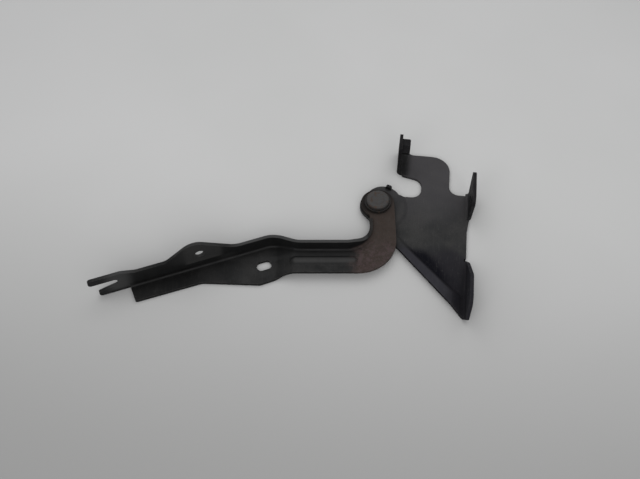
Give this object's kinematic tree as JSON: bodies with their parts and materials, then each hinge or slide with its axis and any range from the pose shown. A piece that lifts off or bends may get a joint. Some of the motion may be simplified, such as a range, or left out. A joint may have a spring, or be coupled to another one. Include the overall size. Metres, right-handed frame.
{
  "type": "hood hinge",
  "caption": "Vehicle hood hinge: a pressed body bracket with bolt flanges carries a cranked, forked hood arm on a rivet.",
  "frame": {"origin": "midway between the two body bolt holes, on the bracket's outer bolting face", "axes": "+X out of the bolting face, +Y along the line of body bolts from the foot to the ear, +Z along the pivot axis towards the rivet's head"},
  "size_m": [0.3329, 0.2003, 0.041],
  "materials": {
    "bracket_paint": "satin black paint, scuffed and dusty",
    "arm_paint": "satin black paint, worn to brown at the neck",
    "rivet_steel": "worn, speckled with rust",
    "washer_steel": "dull, dirty steel",
    "thrust_steel": "plain steel",
    "bush_bronze": "plain bronze",
    "nut_paint": "satin black paint, scuffed and dusty"
  },
  "bodies": {
    "bracket": {"body_bracket": "bracket_paint", "pivot_rivet": "rivet_steel", "head_washer": "washer_steel", "thrust_washer": "thrust_steel", "tab_weld_nut": "nut_paint"},
    "arm": {"hinge_arm": "arm_paint", "pivot_bush": "bush_bronze"}
  },
  "joints": [
    {"name": "hood_swing", "type": "hinge", "parent": "bracket", "child": "arm", "pos_m": [-0.0885, 0.0455, -0.0115], "axis": [0, 0, 1], "range_deg": [-30, 70]}
  ]
}
